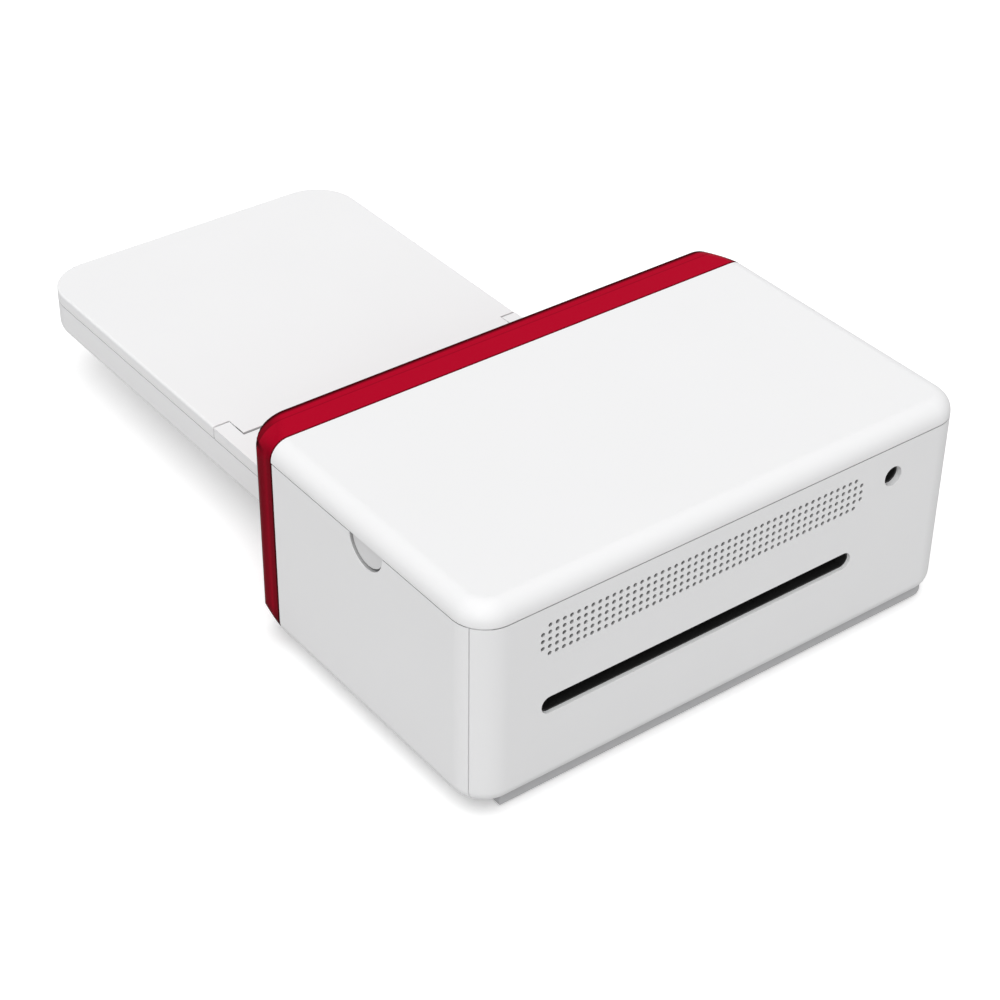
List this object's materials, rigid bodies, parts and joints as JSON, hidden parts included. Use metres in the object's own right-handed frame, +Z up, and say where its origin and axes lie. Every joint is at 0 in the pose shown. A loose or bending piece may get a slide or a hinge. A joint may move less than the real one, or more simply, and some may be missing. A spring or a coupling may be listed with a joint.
{
  "type": "compact photo printer",
  "caption": "Compact photo printer with a rounded white body, red front cap, side cartridge door, rear paper slot and a long slide-out paper cassette.",
  "frame": {"origin": "on the table, under the middle of the printer body", "axes": "+Z up, +Y the rear face with the paper slot and the power inlet, +X the side with the cartridge door; the cassette stands out towards -Y"},
  "size_m": [0.1666, 0.261, 0.0688],
  "materials": {
    "shell_white": "fine satin moulded plastic",
    "cap_red": "smooth glossy moulded plastic",
    "base_grey": "satin moulded plastic",
    "black_plastic": "matte moulded plastic",
    "dark_plastic": "matte moulded plastic",
    "rubber": "matte rubber",
    "steel": "plated steel",
    "gear_ivory": "moulded acetal",
    "brass": "turned brass",
    "button_silver": "satin moulded plastic",
    "light_pipe": "clear moulded light pipe",
    "board_green": "lacquered circuit board",
    "heat_sink": "extruded aluminium",
    "head_ceramic": "ground ceramic with a glazed bead",
    "ribbon_dye": "thin dye-coated film"
  },
  "bodies": {
    "printer": {"main_housing": "shell_white", "vent_grille": "shell_white", "top_cover": "shell_white", "front_cap": "cap_red", "door_hinge_rod": "steel", "base_plate": "base_grey", "rubber_feet": "rubber", "base_screws": "steel", "dc_jack": "black_plastic", "dc_pin": "steel", "exit_guide": "black_plastic", "status_light": "light_pipe", "button_board": "board_green", "main_board": "board_green", "cassette_guide_left": "black_plastic", "cassette_guide_right": "black_plastic", "chassis_left": "steel", "chassis_right": "steel", "chassis_bar_front": "steel", "chassis_bar_rear": "steel", "chassis_screws": "steel", "head_pivot_shaft": "steel", "feed_motor": "steel"},
    "door": {"side_door": "shell_white"},
    "cassette": {"cassette_tray": "shell_white", "cassette_cover": "shell_white"},
    "lid": {"cassette_lid": "shell_white"},
    "lift": {"lift_plate": "dark_plastic"},
    "button": {"power_button": "button_silver"},
    "feed": {"feed_roller": "steel", "feed_gear": "gear_ivory"},
    "pickup": {"pickup_shaft": "steel", "pickup_tyres": "rubber", "pickup_gear": "gear_ivory"},
    "pinion": {"motor_pinion": "brass"},
    "idler": {"idler_gear": "gear_ivory"},
    "takeup_dog": {"takeup_drive": "gear_ivory"},
    "cartridge": {"cartridge_frame": "black_plastic", "ribbon_film": "ribbon_dye"},
    "takeup_reel": {"takeup_spool": "gear_ivory", "takeup_ribbon": "ribbon_dye"},
    "supply_reel": {"supply_spool": "gear_ivory", "supply_ribbon": "ribbon_dye"},
    "platen": {"platen_shaft": "steel", "platen_rubber": "rubber"},
    "pinch": {"pinch_roller": "dark_plastic"},
    "cam": {"cam_shaft": "gear_ivory"},
    "head": {"head_bracket": "steel", "head_heatsink": "heat_sink", "thermal_head": "head_ceramic"}
  },
  "joints": [
    {"name": "door_hinge", "type": "hinge", "parent": "printer", "child": "door", "pos_m": [0.0786, 0, 0.0092], "axis": [0, 1, 0], "range_deg": [0, 90]},
    {"name": "cartridge_slide", "type": "slide", "parent": "printer", "child": "cartridge", "axis": [1, 0, 0], "range_m": [0, 0.0426]},
    {"name": "cassette_slide", "type": "slide", "parent": "printer", "child": "cassette", "axis": [0, -1, 0], "range_m": [0, 0.045]},
    {"name": "lid_hinge", "type": "hinge", "parent": "cassette", "child": "lid", "pos_m": [0.0093, -0.0991, 0.0303], "axis": [-1, 0, 0], "range_deg": [0, 110]},
    {"name": "lift_hinge", "type": "hinge", "parent": "cassette", "child": "lift", "pos_m": [0.0093, -0.1934, 0.0207], "axis": [1, 0, 0], "range_deg": [-2, 0.4]},
    {"name": "button_press", "type": "slide", "parent": "printer", "child": "button", "axis": [0, 1, 0], "range_m": [0, 0.0006], "stiffness_N_per_m": 500, "springref_m": -0.0004},
    {"name": "feed_spin", "type": "hinge", "parent": "printer", "child": "feed", "pos_m": [0.0093, -0.018, 0.027], "axis": [1, 0, 0], "continuous": true},
    {"name": "pickup_spin", "type": "hinge", "parent": "printer", "child": "pickup", "pos_m": [0.0093, -0.03002, 0.0363], "axis": [1, 0, 0], "continuous": true},
    {"name": "pinion_spin", "type": "hinge", "parent": "printer", "child": "pinion", "pos_m": [0.0093, -0.02495, 0.04718], "axis": [1, 0, 0], "continuous": true},
    {"name": "idler_spin", "type": "hinge", "parent": "printer", "child": "idler", "pos_m": [0.0093, -0.01433, 0.05073], "axis": [1, 0, 0], "continuous": true},
    {"name": "drive_spin", "type": "hinge", "parent": "printer", "child": "takeup_dog", "pos_m": [0.0093, -0.0035, 0.0425], "axis": [1, 0, 0], "continuous": true},
    {"name": "takeup_spin", "type": "hinge", "parent": "cartridge", "child": "takeup_reel", "pos_m": [0.0093, -0.0035, 0.0425], "axis": [1, 0, 0], "continuous": true},
    {"name": "supply_spin", "type": "hinge", "parent": "cartridge", "child": "supply_reel", "pos_m": [0.0093, 0.032, 0.0425], "axis": [1, 0, 0], "continuous": true},
    {"name": "platen_spin", "type": "hinge", "parent": "printer", "child": "platen", "pos_m": [0.0093, 0.014, 0.025], "axis": [1, 0, 0], "continuous": true},
    {"name": "pinch_spin", "type": "hinge", "parent": "printer", "child": "pinch", "pos_m": [0.0093, -0.018, 0.0343], "axis": [1, 0, 0], "continuous": true},
    {"name": "cam_spin", "type": "hinge", "parent": "printer", "child": "cam", "pos_m": [0.0093, 0.02, 0.06146], "axis": [1, 0, 0], "range_deg": [-180, 0]},
    {"name": "head_press", "type": "hinge", "parent": "printer", "child": "head", "pos_m": [0.0093, 0.044, 0.0573], "axis": [-1, 0, 0], "range_deg": [-6.5, 0], "stiffness_Nm_per_rad": 0.08, "springref_deg": 20.05}
  ],
  "couplings": [
    {"joint": "cartridge_slide", "follows": "door_hinge", "m_per_rad": 0.027},
    {"joint": "pickup_spin", "follows": "feed_spin", "ratio": -1.1111},
    {"joint": "pinion_spin", "follows": "feed_spin", "ratio": 1.6667},
    {"joint": "idler_spin", "follows": "feed_spin", "ratio": -1.25},
    {"joint": "drive_spin", "follows": "feed_spin", "ratio": 1.1111},
    {"joint": "takeup_spin", "follows": "feed_spin", "ratio": 1.1111},
    {"joint": "supply_spin", "follows": "feed_spin", "ratio": -0.75817},
    {"joint": "platen_spin", "follows": "feed_spin", "ratio": 0.66667},
    {"joint": "pinch_spin", "follows": "feed_spin", "ratio": -1.3333},
    {"joint": "cam_spin", "follows": "head_press", "ratio": 27.692}
  ]
}
